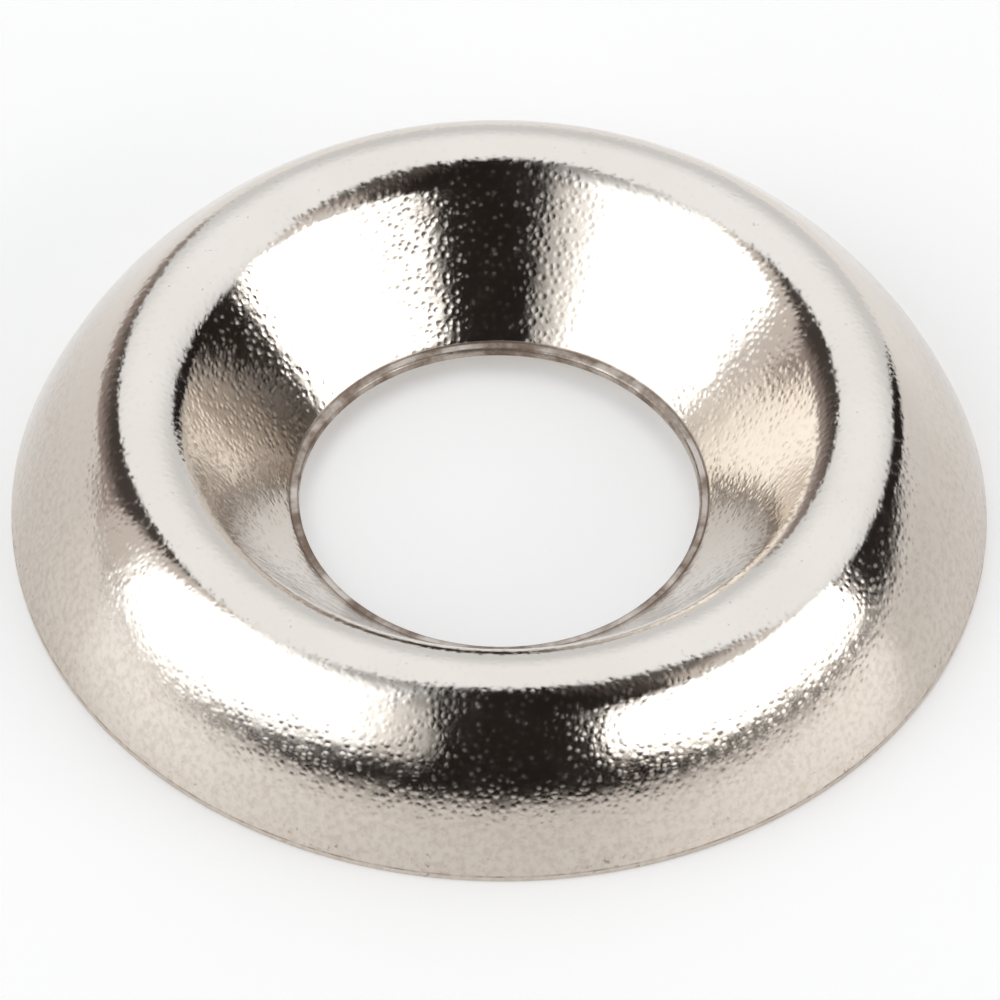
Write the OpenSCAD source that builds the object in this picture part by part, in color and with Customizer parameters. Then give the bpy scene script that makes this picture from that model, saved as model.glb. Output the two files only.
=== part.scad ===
// Finishing cup washer, one ring stamped from thin plated sheet.
// Its section is an upturned U of even thickness: a conical seat rises from the
// screw hole to a round crest, and a bowed skirt falls from the crest to the rim.
// The rim stands on z = 0 and the screw runs along the z axis. Sizes in millimetres.

/* [Screw hole and seat] */
// Diameter of the screw hole
bore_d = 5.74; // [4.8:0.02:6.4]
// Included angle of the conical seat that takes the screw head
seat_angle = 82; // [78:1:100]
// Width of the level land between the seat and the hole
land_w = 0.13; // [0.08:0.01:0.2]
// Rounding of the land where it turns down into the hole
land_edge_r = 0.06; // [0.03:0.01:0.07]
// Depth of the upright wall of the hole, from the land to the cut edge
bore_depth = 0.13; // [0.08:0.01:0.2]
// Height of the lowest edge of the seat above the rim
seat_lift = 0.02; // [0.01:0.01:0.3]

/* [Cup] */
// Outside diameter of the rim
outer_d = 14; // [13.2:0.1:16]
// Height from the rim to the top of the crest
height = 2.42; // [2.1:0.02:2.7]
// Bend radius on the hollow side of the crest
crest_bend_r = 0.5; // [0.3:0.05:0.7]
// Radius of the bowed outside of the skirt
skirt_r = 5.5; // [3.5:0.1:9]
// Height of the upright band that trimming leaves round the rim
rim_band = 0.1; // [0.04:0.01:0.2]

/* [Sheet] */
// Thickness of the sheet
sheet = 0.38; // [0.25:0.01:0.5]

/* [Hidden] */
$fn = 180;

bore_r = bore_d / 2;
rim_r = outer_d / 2;

// A length that reaches past the whole section
far = 2 * (outer_d + skirt_r);

// Seat: how steeply it rises, its length from the crest to the cut edge, and how
// far the foot of the hole's wall stands above the line of its face
seat_rise = 90 - seat_angle / 2;
crest_r = crest_bend_r + sheet;
crest_z = height - crest_r;
seat_length = (crest_z + crest_bend_r * cos(seat_rise) - seat_lift) / sin(seat_rise);
foot_stand = land_w * sin(seat_rise) - bore_depth * cos(seat_rise);

// Crest: the centre of its bend, placed so that the seat comes down to the hole
crest_out = bore_r + (crest_r + foot_stand) * sin(seat_rise) + seat_length * cos(seat_rise);
crest = [crest_out, crest_z];

// Land: its level, and the length of seat that is thickened to carry it
land_z = crest_z + (crest_r + foot_stand) * cos(seat_rise) - seat_length * sin(seat_rise) + bore_depth;
land_run = 2 * (land_w + bore_depth);

// Skirt: the arc of its radius that touches the crest's bend and meets the rim band.
// The crest's centre, the arc's centre and the top of the rim band make a triangle,
// whose corner at the crest gives the angle where the crest hands over to the skirt.
crest_to_rim = [rim_r, rim_band] - crest;
rim_reach = norm(crest_to_rim);
centre_gap = skirt_r - crest_r;
crest_corner = acos((rim_reach ^ 2 + centre_gap ^ 2 - skirt_r ^ 2) / (2 * rim_reach * centre_gap));
skirt_top = 180 - crest_corner + atan2(crest_to_rim.y, crest_to_rim.x);
seat_top = 90 + seat_rise;

// Everything above the x axis
module above() {
    translate([-far, 0])
        square([2 * far, far]);
}

// Everything below the x axis
module below() {
    mirror([0, 1])
        above();
}

// Bent sheet, all the way round its centre
module ring(outside_r) {
    difference() {
        circle(r = outside_r);
        circle(r = outside_r - sheet);
    }
}

// Skirt, trimmed upright at the rim and level along its foot
module skirt_section() {
    intersection() {
        translate(crest)
            rotate(skirt_top)
                intersection() {
                    translate([-centre_gap, 0])
                        ring(skirt_r);
                    below();
                }
        square([rim_r, height]);
    }
}

// Crest, bent from the top of the skirt over to the top of the seat
module crest_section() {
    translate(crest)
        intersection() {
            ring(crest_r);
            rotate(skirt_top)
                above();
            rotate(seat_top)
                below();
        }
}

// Straight sheet along the lower end of the seat, as far as the cut edge
module seat_strip(thickness, length) {
    translate(crest)
        rotate(seat_top)
            translate([crest_bend_r, seat_length - length])
                square([thickness, length]);
}

// Everything outside the wall of the hole and under the land, with a round edge
module beside_hole() {
    translate([bore_r, land_z]) {
        translate([land_edge_r, -far])
            square(far);
        translate([0, -far])
            square([far, far - land_edge_r]);
        translate([land_edge_r, -land_edge_r])
            circle(r = land_edge_r);
    }
}

// Seat, with the land raised on its lower end round the hole
module seat_section() {
    intersection() {
        seat_strip(sheet, seat_length);
        translate([bore_r, 0])
            square([rim_r, height]);
    }
    intersection() {
        seat_strip(sheet + land_w, land_run);
        beside_hole();
    }
}

// The whole washer
module cup_washer() {
    color([0.82, 0.80, 0.76])
        rotate_extrude()
            union() {
                skirt_section();
                crest_section();
                seat_section();
            }
}

cup_washer();
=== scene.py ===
"""Finishing cup washer: a fine mesh of the solid's section, bright nickel plate and a small studio."""
import math
from types import SimpleNamespace

import bpy
import numpy as np
from mathutils import Matrix, Vector


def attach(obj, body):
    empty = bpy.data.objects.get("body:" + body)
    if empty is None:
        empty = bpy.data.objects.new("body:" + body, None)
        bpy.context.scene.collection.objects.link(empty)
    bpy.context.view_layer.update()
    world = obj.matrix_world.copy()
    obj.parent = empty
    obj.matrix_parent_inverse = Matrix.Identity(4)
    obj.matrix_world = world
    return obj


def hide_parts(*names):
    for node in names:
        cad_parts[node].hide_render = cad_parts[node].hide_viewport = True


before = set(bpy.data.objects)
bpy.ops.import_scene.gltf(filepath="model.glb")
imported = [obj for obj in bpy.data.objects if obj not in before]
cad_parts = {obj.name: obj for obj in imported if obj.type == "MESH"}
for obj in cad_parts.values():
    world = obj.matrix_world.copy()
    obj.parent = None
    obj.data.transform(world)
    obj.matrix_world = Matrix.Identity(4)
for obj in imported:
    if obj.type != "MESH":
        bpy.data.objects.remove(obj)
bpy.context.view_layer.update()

MM = 0.001

# Sizes of the washer in millimetres, the same as those of the solid
BORE_R = 2.87
SEAT_RISE = math.radians(49)
LAND_W = 0.13
LAND_EDGE_R = 0.06
BORE_DEPTH = 0.13
SEAT_LIFT = 0.02
RIM_R = 7.0
HEIGHT = 2.42
CREST_BEND_R = 0.5
SKIRT_R = 5.5
RIM_BAND = 0.1
SHEET = 0.38

# Fineness of the mesh: steps round the axis, and points along each stretch of the section
AROUND = 512
BAND_POINTS = 3
SKIRT_POINTS = 34
CREST_POINTS = 44
SEAT_POINTS = 22
LAND_POINTS = 3
LAND_EDGE_POINTS = 7
CUT_POINTS = 4
UNDER_SEAT_POINTS = 10
UNDER_CREST_POINTS = 22
UNDER_SKIRT_POINTS = 18
FOOT_POINTS = 4

# Round at a sharp corner: its reach in millimetres, the most it takes of a short side, and its points
EDGE_ROUND = 0.022
EDGE_SHARE = 0.45
EDGE_POINTS = 4


def arc(centre, radius, start, end, count):
    """Points along an arc, ends included."""
    angles = np.linspace(start, end, count)
    return [
        (centre[0] + radius * math.cos(a), centre[1] + radius * math.sin(a))
        for a in angles
    ]


def line(start, end, count):
    """Points along a line, ends included."""
    return [
        (start[0] + t * (end[0] - start[0]), start[1] + t * (end[1] - start[1]))
        for t in np.linspace(0, 1, count)
    ]


def rounded(before, corner, after):
    """A small round in place of a sharp corner."""
    corner = Vector(corner)
    behind = Vector(before) - corner
    ahead = Vector(after) - corner
    start = corner + behind.normalized() * min(EDGE_ROUND, behind.length * EDGE_SHARE)
    end = corner + ahead.normalized() * min(EDGE_ROUND, ahead.length * EDGE_SHARE)
    return [
        tuple(start * (1 - t) ** 2 + corner * 2 * t * (1 - t) + end * t**2)
        for t in np.linspace(0, 1, EDGE_POINTS)
    ]


def layout():
    """Centres, angles and directions of the section, worked out from the sizes."""
    crest_r = CREST_BEND_R + SHEET
    crest_z = HEIGHT - crest_r
    rise_sin = math.sin(SEAT_RISE)
    rise_cos = math.cos(SEAT_RISE)

    # The crest stands where the seat comes down from it to the hole
    seat_length = (crest_z + CREST_BEND_R * rise_cos - SEAT_LIFT) / rise_sin
    foot_stand = LAND_W * rise_sin - BORE_DEPTH * rise_cos
    crest_out = BORE_R + (crest_r + foot_stand) * rise_sin + seat_length * rise_cos
    land_z = crest_z + (crest_r + foot_stand) * rise_cos - seat_length * rise_sin + BORE_DEPTH

    # The skirt's arc touches the crest's bend and meets the top of the rim band
    reach = Vector((RIM_R - crest_out, RIM_BAND - crest_z))
    gap = SKIRT_R - crest_r
    corner = math.acos((reach.length**2 + gap**2 - SKIRT_R**2) / (2 * reach.length * gap))
    skirt_top = math.pi - corner + math.atan2(reach.y, reach.x)
    bow = (crest_out - gap * math.cos(skirt_top), crest_z - gap * math.sin(skirt_top))
    inner_r = SKIRT_R - SHEET
    return SimpleNamespace(
        crest=(crest_out, crest_z),
        crest_r=crest_r,
        seat_top=math.pi / 2 + SEAT_RISE,
        seat_length=seat_length,
        seat_down=Vector((-rise_cos, -rise_sin)),
        seat_out=Vector((-rise_sin, rise_cos)),
        land_z=land_z,
        skirt_top=skirt_top,
        bow=bow,
        inner_r=inner_r,
        rim_angle=math.atan2(RIM_BAND - bow[1], RIM_R - bow[0]),
        foot_angle=math.asin(-bow[1] / inner_r),
    )


def section():
    """The closed section: from the rim over the crest, down the seat and back along the hollow side."""
    s = layout()
    seat_head = Vector(s.crest) + s.seat_out * s.crest_r
    under_head = Vector(s.crest) + s.seat_out * CREST_BEND_R
    cut = tuple(under_head + s.seat_down * s.seat_length)
    wall_foot = (BORE_R, s.land_z - BORE_DEPTH)
    seat_foot = (BORE_R + LAND_W, s.land_z)
    edge_top = (BORE_R + LAND_EDGE_R, s.land_z)
    edge_centre = (BORE_R + LAND_EDGE_R, s.land_z - LAND_EDGE_R)
    inner_foot = (s.bow[0] + s.inner_r * math.cos(s.foot_angle), 0.0)
    rim_foot = (RIM_R, 0.0)

    # Each run is smooth along its length; the corners between runs are sharp in the solid and get a small
    # round here
    runs = [
        line(rim_foot, (RIM_R, RIM_BAND), BAND_POINTS),
        arc(s.bow, SKIRT_R, s.rim_angle, s.skirt_top, SKIRT_POINTS)
        + arc(s.crest, s.crest_r, s.skirt_top, s.seat_top, CREST_POINTS)[1:]
        + line(tuple(seat_head), seat_foot, SEAT_POINTS)[1:],
        line(seat_foot, edge_top, LAND_POINTS)
        + arc(edge_centre, LAND_EDGE_R, math.pi / 2, math.pi, LAND_EDGE_POINTS)[1:]
        + [wall_foot],
        line(wall_foot, cut, CUT_POINTS),
        line(cut, tuple(under_head), UNDER_SEAT_POINTS)
        + arc(s.crest, CREST_BEND_R, s.seat_top, s.skirt_top, UNDER_CREST_POINTS)[1:]
        + arc(s.bow, s.inner_r, s.skirt_top, s.foot_angle, UNDER_SKIRT_POINTS)[1:],
        line(inner_foot, rim_foot, FOOT_POINTS),
    ]
    points = []
    for n, run in enumerate(runs):
        points += rounded(runs[n - 1][-2], run[0], run[1])
        points += run[1:-1]
    return points


def washer_mesh(name):
    """The section turned round the axis."""
    points = np.array(section()) * MM
    count = len(points)
    turn = np.linspace(0, 2 * math.pi, AROUND, endpoint=False)
    x = np.outer(np.cos(turn), points[:, 0])
    y = np.outer(np.sin(turn), points[:, 0])
    z = np.outer(np.ones(AROUND), points[:, 1])
    verts = np.stack([x, y, z], -1).reshape(-1, 3)
    faces = []
    for i in range(AROUND):
        here = i * count
        beside = (i + 1) % AROUND * count
        for j in range(count):
            k = (j + 1) % count
            faces.append((here + j, beside + j, beside + k, here + k))
    mesh = bpy.data.meshes.new(name)
    mesh.from_pydata([tuple(v) for v in verts], [], faces)
    mesh.shade_smooth()
    mesh.update()
    return mesh


RISE = (0.0, 1.0)
FALL = (1.0, 0.0)


class Nodes:
    """Short calls for adding nodes to a node tree."""

    def __init__(self, tree):
        self.tree = tree
        tree.nodes.clear()

    def add(self, kind, settings=None, inputs=None):
        node = self.tree.nodes.new(kind)
        for key, value in (settings or {}).items():
            setattr(node, key, value)
        for key, value in (inputs or {}).items():
            self.feed(node.inputs[key], value)
        return node

    def feed(self, socket, value):
        """Links a socket to the value, or sets it to the value."""
        if isinstance(value, bpy.types.NodeSocket):
            self.tree.links.new(value, socket)
        else:
            socket.default_value = value

    def math(self, operation, a, b=0.0, clamp=False):
        node = self.add("ShaderNodeMath", {"operation": operation, "use_clamp": clamp}, {0: a, 1: b})
        return node.outputs[0]

    def product(self, first, *others):
        for other in others:
            first = self.math("MULTIPLY", first, other)
        return first

    def largest(self, first, *others):
        for other in others:
            first = self.math("MAXIMUM", first, other)
        return first

    def distance(self, value, middle):
        return self.math("ABSOLUTE", self.math("SUBTRACT", value, middle))

    def step(self, value, ends, results=RISE):
        """Eases from the first result to the second as the value goes from one end to the other."""
        node = self.add(
            "ShaderNodeMapRange",
            {"interpolation_type": "SMOOTHSTEP"},
            {
                "Value": value,
                "From Min": ends[0],
                "From Max": ends[1],
                "To Min": results[0],
                "To Max": results[1],
            },
        )
        return node.outputs["Result"]

    def noise(self, place, size, detail=2.0, rough=0.5):
        """Noise with lumps of about the given size in metres."""
        inputs = {"Vector": place, "Scale": 1 / size, "Detail": detail, "Roughness": rough}
        return self.add("ShaderNodeTexNoise", {}, inputs).outputs["Fac"]

    def bump(self, height, distance, normal=None):
        inputs = {"Distance": distance, "Height": height}
        if normal:
            inputs["Normal"] = normal
        return self.add("ShaderNodeBump", {}, inputs).outputs[0]

    def blend(self, share, first, second):
        """A colour between two others."""
        node = self.add("ShaderNodeMix", {"data_type": "RGBA"}, {0: share})
        colours = [s for s in node.inputs if s.type == "RGBA"]
        self.feed(colours[0], first)
        self.feed(colours[1], second)
        return [s for s in node.outputs if s.type == "RGBA"][0]


# In the values below, a pair gives the two ends of a range, or the results at those ends.

# Orange peel: sizes across and heights of its bumps, and how strong it is on the seat and on the skirt
BEAD_SPACING = 0.105 * MM
BEAD_SPAN = (0.05, 0.62)
LUMP_SIZE = 0.086 * MM
LUMP_SHARE = 0.6
PEEL_HEIGHT = 0.0024 * MM
WAVE_SIZE = 0.45 * MM
WAVE_HEIGHT = 0.006 * MM
SATIN_SIZE = 0.006 * MM
SATIN_HEIGHT = 0.00032 * MM
CREST_SPAN = (4.3 * MM, 5.0 * MM)
PEEL_STRENGTH = (0.9, 0.68)

# Gloss: roughness of the plate, and what the tops of the beads add to it, least at the foot
GLOSS_SIZE = 0.5 * MM
GLOSS_NOISE = (0.3, 0.7)
GLOSS = (0.08, 0.115)
BEAD_TOP = (0.15, 0.5)
HAZE_HEIGHT = (0.6 * MM, 1.5 * MM)
HAZE = (0.08, 0.18)
BEAD_CHANCE = (0.0, 1.0)
BEAD_HAZE_SHARE = (0.2, 1.0)
SOIL_AND_SHADE_ROUGHNESS = 0.45

# Tone of the plate, which drifts slowly, and the brownish film in fine blotches on the lower skirt, partly
# a real film and partly painted shade that darkens the skirt towards its foot
PLATE_COOL = (0.71, 0.652, 0.59, 1)
PLATE_WARM = (0.69, 0.63, 0.565, 1)
DRIFT_SIZE = 2.2 * MM
MID_NOISE = (0.35, 0.65)
SKIRT_START = (5.2 * MM, 5.8 * MM)
FILM_AND_SHADE_COLOUR = (0.57, 0.50, 0.435, 1)
FILM_AND_SHADE_HEIGHT = (1.1 * MM, 2.25 * MM)
BLOTCH_SIZE = 0.10 * MM
BLOTCH_NOISE = (0.35, 0.75)
BLOTCH_SHARE = (0.3, 1.0)

# Brown specks: where the noise passes a level, which drops near the rim, more in some patches
# The brown of the specks, the rim line and the stain, also used for the painted shade in the corner round
# the hole
SOIL_AND_SHADE_COLOUR = (0.16, 0.10, 0.065, 1)
SPECK_SIZE = 0.085 * MM
SPECK_LEVEL = 0.745
SPECK_DROP = 0.13
SPECK_HEIGHT = (0.10 * MM, 0.75 * MM)
SPECK_PATCH_SIZE = 0.8 * MM
SPECK_PATCH_NOISE = (0.42, 0.62)
SPECK_PATCH_SHARE = (0.3, 1.0)
SPECK_EDGE = 7.0
SPECK_SHARE = 0.45

# Thin brown line along the top of the rim band, weaker here and there
RIM_LINE = (0.004 * MM, 0.022 * MM)
RIM_START = (6.9 * MM, 6.97 * MM)
RIM_PATCH_SIZE = 0.22 * MM
RIM_LINE_SHARE = (0.15, 0.6)

# Brown stain on the land and the wall of the hole, and painted shade as a dark line in the corner under the
# seat, where it is darkest
LAND_R = (BORE_R + LAND_W) * MM
LAND_END = (LAND_R, LAND_R + 0.03 * MM)
DIRT_SIZE = 0.6 * MM
DIRT_SHARE = (0.35, 0.9)
CORNER_SHADE_LINE = (0.008 * MM, 0.035 * MM)
CORNER_SHADE_SHARE = (0.85, 0.0)
CORNER_SHADE_HEIGHT = (0.45 * MM, 0.6 * MM)
CORNER_SHADE_STAIN = (0.2, 0.8)
CORNER_SHADE_STAIN_SHARE = (0.6, 1.0)


def whereabouts(n):
    """Where a point of the plate lies, how strong the peel is there, and its place on its bead."""
    place = n.add("ShaderNodeTexCoord").outputs["Object"]
    x, y, z = n.add("ShaderNodeSeparateXYZ", {}, {0: place}).outputs
    flat = n.add("ShaderNodeCombineXYZ", {}, {0: x, 1: y}).outputs[0]
    radius = n.add("ShaderNodeVectorMath", {"operation": "LENGTH"}, {0: flat}).outputs["Value"]
    cells = n.add("ShaderNodeTexVoronoi", {}, {"Vector": place, "Scale": 1 / BEAD_SPACING})
    chance = n.add("ShaderNodeSeparateColor", {}, {0: cells.outputs["Color"]}).outputs["Red"]
    return SimpleNamespace(
        place=place,
        radius=radius,
        z=z,
        on_skirt=n.step(radius, SKIRT_START),
        peel=n.step(radius, CREST_SPAN, PEEL_STRENGTH),
        bead=cells.outputs["Distance"],
        bead_chance=chance,
    )


def peel_normal(n, at):
    """Round beads and soft lumps over a slow wave of the sheet, with a fine satin."""
    beads = n.step(at.bead, BEAD_SPAN, FALL)
    lumps = n.product(n.noise(at.place, LUMP_SIZE, detail=1.0, rough=0.25), LUMP_SHARE)
    relief = n.product(n.math("ADD", lumps, beads), at.peel)
    wave = n.noise(at.place, WAVE_SIZE, detail=1.0, rough=0.4)
    satin = n.noise(at.place, SATIN_SIZE, detail=0.0)
    normal = n.bump(relief, PEEL_HEIGHT)
    normal = n.bump(wave, WAVE_HEIGHT, normal)
    return n.bump(satin, SATIN_HEIGHT, normal)


def plate_colour(n, at):
    """The plate's tone, with the film over it, which is partly painted shade darkening the skirt towards
    its foot.
    """
    drift = n.step(n.noise(at.place, DRIFT_SIZE), MID_NOISE)
    plate = n.blend(drift, PLATE_COOL, PLATE_WARM)
    # Painted shade mixed with a real film: the colour darkens towards the foot of the skirt, in blotches
    low = n.product(n.step(at.z, FILM_AND_SHADE_HEIGHT, FALL), at.on_skirt)
    blotch = n.step(n.noise(at.place, BLOTCH_SIZE, rough=0.6), BLOTCH_NOISE, BLOTCH_SHARE)
    return n.blend(n.product(low, blotch), plate, FILM_AND_SHADE_COLOUR)


def specks(n, at):
    """Share of brown specks, thick near the rim and scarce elsewhere."""
    near_rim = n.product(n.step(at.z, SPECK_HEIGHT, FALL), at.on_skirt)
    patch = n.step(n.noise(at.place, SPECK_PATCH_SIZE, detail=1.0), SPECK_PATCH_NOISE, SPECK_PATCH_SHARE)
    level = n.math("SUBTRACT", SPECK_LEVEL, n.product(near_rim, patch, SPECK_DROP))
    over = n.math("SUBTRACT", n.noise(at.place, SPECK_SIZE, detail=1.0), level)
    return n.product(n.math("MULTIPLY", over, SPECK_EDGE, clamp=True), SPECK_SHARE)


def rim_mark(n, at):
    """Share of the brown line on the rim band."""
    on_line = n.step(n.distance(at.z, RIM_BAND * MM), RIM_LINE, FALL)
    patch = n.step(n.noise(at.place, RIM_PATCH_SIZE), MID_NOISE, RIM_LINE_SHARE)
    return n.product(on_line, n.step(at.radius, RIM_START), patch)


def hole_stain_and_shade(n, at):
    """Share of the brown stain round the hole, with painted shade along the corner under the seat."""
    dirt = n.step(n.noise(at.place, DIRT_SIZE, detail=4.0, rough=0.65), MID_NOISE, DIRT_SHARE)
    on_land = n.product(n.step(at.radius, LAND_END, FALL), dirt)
    # Painted shade: a dark line in the crease where the seat meets the land, low in the hole
    painted_corner_shade = n.step(n.distance(at.radius, LAND_R), CORNER_SHADE_LINE, CORNER_SHADE_SHARE)
    low = n.step(at.z, CORNER_SHADE_HEIGHT, FALL)
    return n.largest(on_land, n.product(painted_corner_shade, low, n.step(dirt, CORNER_SHADE_STAIN, CORNER_SHADE_STAIN_SHARE)))


def roughness(n, at, soil_and_shade):
    """Roughness of the plate, wider on the tops of some beads, where there is soil, and where the corner
    shade is painted.
    """
    gloss = n.step(n.noise(at.place, GLOSS_SIZE), GLOSS_NOISE, GLOSS)
    chosen = n.step(at.bead_chance, BEAD_CHANCE, BEAD_HAZE_SHARE)
    share = n.product(n.step(at.z, HAZE_HEIGHT, HAZE), chosen)
    haze = n.product(n.step(at.bead, BEAD_TOP, FALL), share, at.peel)
    return n.math("ADD", n.math("ADD", gloss, haze), n.product(soil_and_shade, SOIL_AND_SHADE_ROUGHNESS))


def nickel():
    """Bright nickel plate with its peel, film and soil, and painted shade low on the skirt and in the
    corner round the hole.
    """
    material = bpy.data.materials.new("nickel_plate")
    material.use_nodes = True
    n = Nodes(material.node_tree)
    at = whereabouts(n)
    # Specks, rim line and stain, together with the painted shade in the corner round the hole
    soil_and_shade = n.largest(specks(n, at), rim_mark(n, at), hole_stain_and_shade(n, at))
    shader = n.add(
        "ShaderNodeBsdfPrincipled",
        {},
        {
            "Metallic": 1.0,
            "Base Color": n.blend(soil_and_shade, plate_colour(n, at), SOIL_AND_SHADE_COLOUR),
            "Roughness": roughness(n, at, soil_and_shade),
            "Normal": peel_normal(n, at),
        },
    )
    n.add("ShaderNodeOutputMaterial", {}, {"Surface": shader.outputs[0]})
    return material


washer = bpy.data.objects.new("washer_shell", washer_mesh("washer_shell"))
bpy.context.scene.collection.objects.link(washer)
washer.data.materials.append(nickel())
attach(washer, "root")
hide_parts("cup_washer")

# Studio floor: a white sweep that curls up at its edge all round, most towards the camera.
# Lengths in metres. The rise is the elevation of the edge in degrees.
SWEEP_R = 0.5
SWEEP_CURL = 0.07
SWEEP_RISE = 2.9
SWEEP_FRONT_RISE = 7.9
SWEEP_EASE = 0.9
FLOOR_STEPS = 128
FLOOR_RINGS = [0.004, 0.012, 0.03, 0.07, 0.14, 0.22, SWEEP_R - SWEEP_CURL]
CURL_STEPS = 8
FLOOR_COLOUR = (0.755, 0.735, 0.715, 1)
FLOOR_ROUGHNESS = 0.35
FLOOR_SPECULAR = 0.35
FLOOR_GLOW = 0.25


def sweep_height(azimuth):
    """Height of the sweep's edge. Azimuth 0 is away from the camera."""
    rise = SWEEP_RISE + SWEEP_FRONT_RISE * max(0.0, -math.cos(azimuth)) ** SWEEP_EASE
    return SWEEP_R * math.tan(math.radians(rise))


def floor_profile(azimuth):
    """Distance and height of the floor's points from the middle out to its edge."""
    points = [(ring, 0.0) for ring in FLOOR_RINGS]
    for k in range(1, CURL_STEPS + 1):
        bend = k / CURL_STEPS * math.pi / 2
        out = SWEEP_R - SWEEP_CURL + SWEEP_CURL * math.sin(bend)
        points.append((out, sweep_height(azimuth) * (1 - math.cos(bend))))
    return points


def floor_mesh():
    verts = [(0.0, 0.0, 0.0)]
    for i in range(FLOOR_STEPS):
        azimuth = 2 * math.pi * i / FLOOR_STEPS
        for out, up in floor_profile(azimuth):
            verts.append((out * math.sin(azimuth), out * math.cos(azimuth), up))
    count = len(FLOOR_RINGS) + CURL_STEPS
    faces = []
    for i in range(FLOOR_STEPS):
        here = 1 + i * count
        beside = 1 + (i + 1) % FLOOR_STEPS * count
        faces.append((0, beside, here))
        for j in range(count - 1):
            faces.append((here + j, beside + j, beside + j + 1, here + j + 1))
    mesh = bpy.data.meshes.new("floor")
    mesh.from_pydata(verts, [], faces)
    mesh.shade_smooth()
    mesh.update()
    return mesh


def floor_material():
    """Pale paint, with a glow that the camera and the metal both see."""
    material = bpy.data.materials.new("floor_white")
    material.use_nodes = True
    n = Nodes(material.node_tree)
    path = n.add("ShaderNodeLightPath")
    seen = n.math("ADD", path.outputs["Is Camera Ray"], path.outputs["Is Glossy Ray"])
    seen = n.math("ADD", seen, path.outputs["Is Transmission Ray"], clamp=True)
    paint = n.add(
        "ShaderNodeBsdfPrincipled",
        {},
        {"Base Color": FLOOR_COLOUR, "Roughness": FLOOR_ROUGHNESS, "Specular IOR Level": FLOOR_SPECULAR},
    )
    glow = n.add("ShaderNodeEmission", {}, {"Color": (1, 1, 1, 1), "Strength": n.product(seen, FLOOR_GLOW)})
    both = n.add("ShaderNodeAddShader", {}, {0: paint.outputs[0], 1: glow.outputs[0]})
    n.add("ShaderNodeOutputMaterial", {}, {"Surface": both.outputs[0]})
    return material


floor = bpy.data.objects.new("floor", floor_mesh())
bpy.context.scene.collection.objects.link(floor)
floor.data.materials.append(floor_material())

# Lights: sheets of an even glow on a shell round the washer, level 1 being white
SHELL_R = 0.6
SHEET_ROWS = 8


def on_shell(azimuth, elevation):
    """A place on the shell. Azimuth 0 is away from the camera and 90 is to the right."""
    az = math.radians(azimuth)
    el = math.radians(elevation)
    return (
        SHELL_R * math.sin(az) * math.cos(el),
        SHELL_R * math.cos(az) * math.cos(el),
        SHELL_R * math.sin(el),
    )


def glow_material(name, colour, levels, fade):
    """Light of an even level, or of two levels with a fade between two elevations."""
    material = bpy.data.materials.new(name)
    material.use_nodes = True
    n = Nodes(material.node_tree)
    strength = levels[0]
    if fade:
        place = n.add("ShaderNodeTexCoord").outputs["Object"]
        z = n.add("ShaderNodeSeparateXYZ", {}, {0: place}).outputs["Z"]
        heights = [SHELL_R * math.sin(math.radians(elevation)) for elevation in fade]
        strength = n.step(z, heights, levels)
    glow = n.add("ShaderNodeEmission", {}, {"Color": (*colour, 1), "Strength": strength})
    n.add("ShaderNodeOutputMaterial", {}, {"Surface": glow.outputs[0]})
    return material


def light_sheet(name, columns, levels, fade=None, colour=(1, 1, 1)):
    """A sheet of light. Each column gives an azimuth and the elevations of the sheet's foot and top."""
    verts = []
    for azimuth, foot, top in columns:
        for k in range(SHEET_ROWS + 1):
            verts.append(on_shell(azimuth, foot + (top - foot) * k / SHEET_ROWS))
    faces = []
    for i in range(len(columns) - 1):
        here = i * (SHEET_ROWS + 1)
        beside = here + SHEET_ROWS + 1
        for k in range(SHEET_ROWS):
            faces.append((here + k, here + k + 1, beside + k + 1, beside + k))
    mesh = bpy.data.meshes.new(name)
    mesh.from_pydata(verts, [], faces)
    mesh.update()
    mesh.materials.append(glow_material(name, colour, levels, fade))
    sheet = bpy.data.objects.new(name, mesh)
    bpy.context.scene.collection.objects.link(sheet)


# The two soft boxes, brightest in their lower parts
light_sheet(
    "soft_box_left",
    [
        (-149, 21, 73), (-138, 18, 80), (-126, 13.5, 84), (-114, 9, 84),
        (-102, 5, 80), (-90, 4, 66), (-83, 4, 61),
    ],
    levels=(2.2, 0.45),
    fade=(49, 88),
    colour=(0.93, 0.97, 1.0),
)
light_sheet(
    "soft_box_right",
    [(87, 7, 38), (98, 8.5, 43), (112, 11, 46), (122, 13, 43), (138, 17, 39), (154, 22.5, 34)],
    levels=(3.0, 0.8),
    fade=(29, 38),
)

# The white tent overhead and behind, which leaves the left back and the right back open
light_sheet(
    "white_tent",
    [
        (-102, 80, 88), (-90, 66, 88), (-83, 61, 88), (-69, 55, 88), (-60, 53, 88), (-52, 49, 88),
        (-45, 43, 88), (-35, 32, 88), (-28, 22, 88), (-20, 12, 88), (-19, 2, 88), (0, 2, 88),
        (20, 2, 88), (36, 2, 88), (40, 19, 88), (66, 24, 88), (84, 25, 86), (97, 43, 80),
    ],
    levels=(0.90, 1.28),
    fade=(15, 48),
    colour=(0.915, 0.953, 1.0),
)

# Dimmer edges of the left soft box, two towards the camera and one towards the back
light_sheet("box_fringe", [(-157, 22, 67), (-149, 21, 73)], levels=(1.25, 0.3), fade=(30, 72))
light_sheet("box_fringe_dim", [(-164, 23, 60), (-157, 22, 67)], levels=(0.85, 0.2), fade=(26, 66))
light_sheet("box_edge", [(-83, 4, 61), (-69, 3, 55)], levels=(0.75,), colour=(1.0, 0.94, 0.90))

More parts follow.
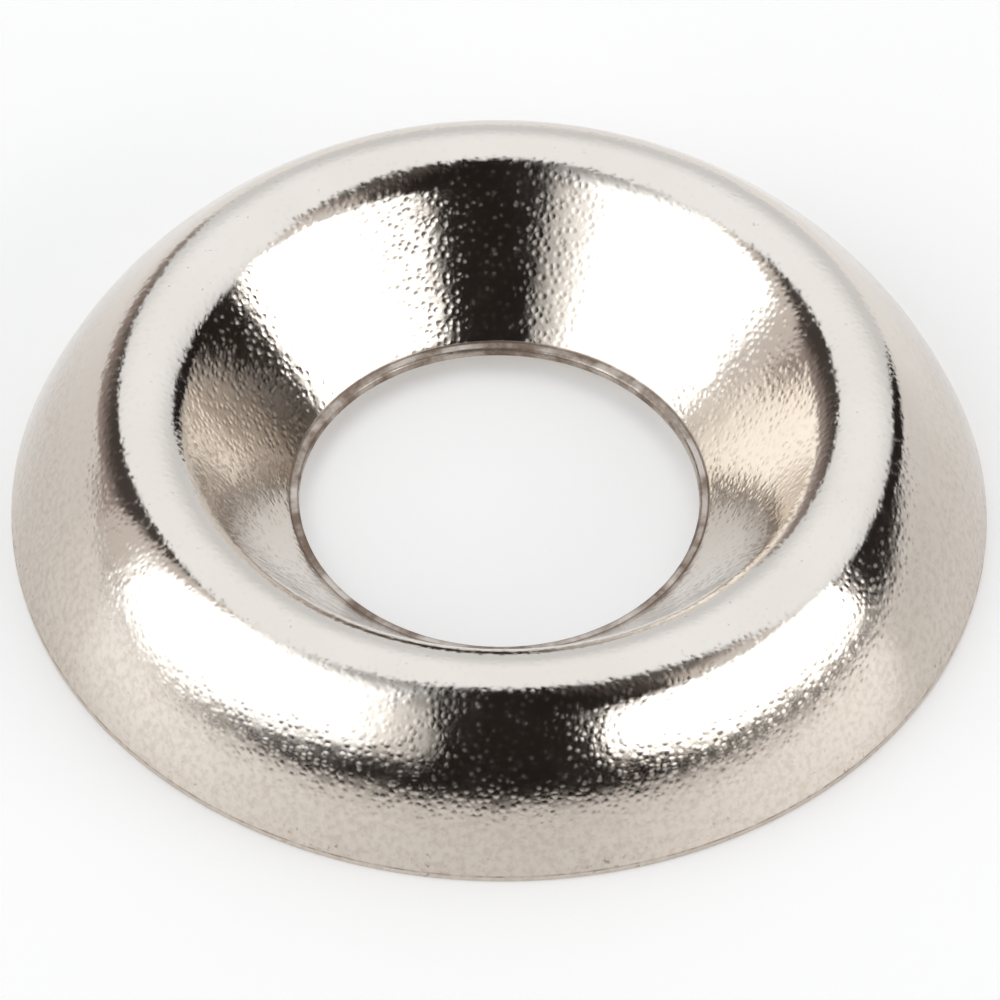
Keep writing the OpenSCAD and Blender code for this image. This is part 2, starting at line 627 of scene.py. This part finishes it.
# Dim warm fills in the openings between the sheets
light_sheet(
    "fill_left",
    [
        (-69, 2, 55), (-58, 2, 52), (-52, 2, 48), (-45, 2, 42),
        (-35, 2, 31), (-28, 2, 21), (-20, 2, 11),
    ],
    levels=(0.42, 0.07),
    fade=(2, 30),
    colour=(1.0, 0.85, 0.80),
)
light_sheet(
    "fill_right",
    [(97, 43, 80), (112, 46, 80), (126, 42, 80)],
    levels=(1.0, 0.12),
    fade=(40, 66),
    colour=(1.0, 0.93, 0.88),
)
light_sheet("fill_front", [(126, 42, 80), (142, 38, 78)], levels=(0.07,), colour=(1.0, 0.86, 0.8))

# World: a faint warm light from everywhere else
WORLD_COLOUR = (1.0, 0.8, 0.74, 1)
WORLD_LEVEL = 0.02

world = bpy.data.worlds.new("studio")
bpy.context.scene.world = world
world.use_nodes = True
sky = Nodes(world.node_tree)
dim = sky.add("ShaderNodeBackground", {}, {"Color": WORLD_COLOUR, "Strength": WORLD_LEVEL})
sky.add("ShaderNodeOutputWorld", {}, {"Surface": dim.outputs[0]})

# Camera at the photograph's viewing angle, fitted to the washer's outline and its hole.
# The focal ratio is the focal length over the sensor's width, and the aim is off the origin in metres.
CAMERA_ELEVATION = math.radians(47.623)
CAMERA_ROLL = math.radians(0.793)
CAMERA_DISTANCE = 0.280
SENSOR = 36.0
FOCAL_RATIO = 19.5019
AIM_RIGHT = 0.0134 * MM
AIM_UP = 0.2200 * MM
NEAREST = 0.01
FARTHEST = 10.0

camera = bpy.data.objects.new("camera", bpy.data.cameras.new("camera"))
camera.data.sensor_width = SENSOR
camera.data.lens = FOCAL_RATIO * SENSOR
camera.data.clip_start = NEAREST
camera.data.clip_end = FARTHEST
back = Vector((0, -math.cos(CAMERA_ELEVATION), math.sin(CAMERA_ELEVATION)))
right = Vector((1, 0, 0))
level = Matrix((right, back.cross(right), back)).transposed()
turned = level @ Matrix.Rotation(CAMERA_ROLL, 3, "Z")
aim = turned.col[0] * AIM_RIGHT + turned.col[1] * AIM_UP
camera.matrix_world = Matrix.Translation(aim + back * CAMERA_DISTANCE) @ turned.to_4x4()
bpy.context.scene.collection.objects.link(camera)
bpy.context.scene.camera = camera

bpy.context.scene.view_settings.view_transform = "Standard"
